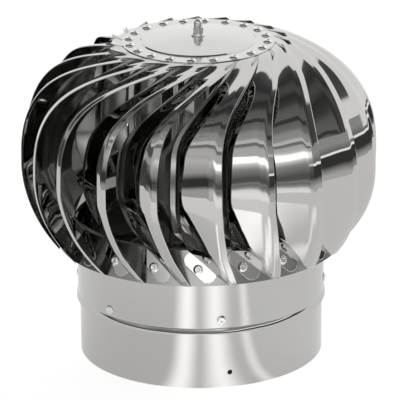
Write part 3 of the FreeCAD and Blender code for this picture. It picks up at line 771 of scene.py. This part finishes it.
def lightAt(tree, value, stops):  # the light along a value, from its stops
    low, high = stops[0][0], stops[-1][0]
    share = addNode(tree, "MapRange", {"Value": value, "From Min": low, "From Max": high})
    light = addNode(tree, "ValToRGB", {"Fac": share})
    elements = light.node.color_ramp.elements
    elements.remove(elements[0])
    for index, (place, brightness) in enumerate(stops):
        position = (place - low) / (high - low)
        stop = elements[0] if index == 0 else elements.new(position)
        stop.position = position
        stop.color = (brightness, brightness, brightness, 1)
    return light


def wallLight(tree, direction, height, h):  # the walls, from the front round to the right and the left
    split = addNode(tree, "SeparateXYZ", {"Vector": direction}).node.outputs
    azimuth = azimuthOf(tree, split["X"], split["Y"])
    level = addNode(tree, "Math", {0: azimuth, 1: h["slant"], 2: height}, operation="MULTIPLY_ADD")
    light = lightAt(tree, level, h["front"])
    for zone in ("right", "side", "left"):
        start, end = h[zone + "From"]
        share = addNode(tree, "MapRange", {"Value": azimuth, "From Min": start, "From Max": end})
        light = addNode(tree, "Mix", {"Factor": share, "A": light, "B": lightAt(tree, height, h[zone])})
    return light


def roofLight(tree, direction, back, height, h):  # bays across the roof, and ribs where it is dark
    overhead = addNode(tree, "Math", {0: height, 1: h["overheadLeast"]}, operation="MAXIMUM")
    along = addNode(tree, "Math", {0: back, 1: overhead}, operation="DIVIDE")
    light = lightAt(tree, along, h["roof"])
    turn = math.radians(h["turn"])
    sideways = {0: direction, 1: (math.cos(turn), -math.sin(turn), 0)}
    side = addNode(tree, "VectorMath", sideways, "Value", operation="DOT_PRODUCT")
    across = addNode(tree, "Math", {0: side, 1: overhead}, operation="DIVIDE")
    ribs = addNode(tree, "Math", {0: across, 1: h["ribPitch"]}, operation="DIVIDE")
    part = addNode(tree, "Math", {0: ribs}, operation="FRACT")
    onRib = addNode(tree, "Math", {0: part, 1: h["ribWidth"]}, operation="LESS_THAN")
    isDark = addNode(tree, "Math", {0: along, 1: h["ribsTo"]}, operation="LESS_THAN")
    shaded = addNode(tree, "Math", {0: onRib, 1: isDark}, operation="MULTIPLY")
    kept = addNode(tree, "Math", {0: shaded, 1: -h["ribShade"], 2: 1.0}, operation="MULTIPLY_ADD")
    return addNode(tree, "Math", {0: light, 1: kept}, operation="MULTIPLY")


def backShare(tree, depth, back, height, h):  # 1 where the open back of the hall is seen, under the roof
    start, end = h["backFrom"]
    isBack = addNode(tree, "MapRange", {"Value": depth, "From Min": start, "From Max": end})
    start, end = h["cornerFrom"]
    corner = addNode(tree, "MapRange", {"Value": back, "From Min": start, "From Max": end})
    isAbove = addNode(tree, "Math", {0: height, 1: h["cornerAbove"]}, operation="GREATER_THAN")
    corner = addNode(tree, "Math", {0: corner, 1: isAbove}, operation="MULTIPLY")
    isBack = addNode(tree, "Math", {0: isBack, 1: corner}, operation="MAXIMUM")
    isBelow = addNode(tree, "Math", {0: height, 1: h["roofFrom"]}, operation="LESS_THAN")
    return addNode(tree, "Math", {0: isBack, 1: isBelow}, operation="MULTIPLY")


def makeHall(h):
    world = bpy.data.worlds.new("hall")
    world.use_nodes = True
    tree = world.node_tree
    direction = addNode(tree, "TexCoord", {}, "Generated")
    split = addNode(tree, "SeparateXYZ", {"Vector": direction}).node.outputs
    depth, height = split["Y"], split["Z"]
    turn = math.radians(h["turn"])
    backward = {0: direction, 1: (math.sin(turn), math.cos(turn), 0)}
    back = addNode(tree, "VectorMath", backward, "Value", operation="DOT_PRODUCT")
    walls = wallLight(tree, direction, height, h)
    roof = roofLight(tree, direction, back, height, h)
    isRoof = addNode(tree, "Math", {0: height, 1: h["roofFrom"]}, operation="GREATER_THAN")
    light = addNode(tree, "Mix", {"Factor": isRoof, "A": walls, "B": roof})
    isBack = backShare(tree, depth, back, height, h)
    light = addNode(tree, "Mix", {"Factor": isBack, "A": light, "B": h["backLight"]})
    isSeen = addNode(tree, "LightPath", {}, "Is Camera Ray")
    light = addNode(tree, "Mix", {"Factor": isSeen, "A": light, "B": 1.0})  # the backdrop itself is white
    tree.links.new(light, tree.nodes["Background"].inputs["Color"])
    scene.world = world


makeHall(hall)
print("hall ready")
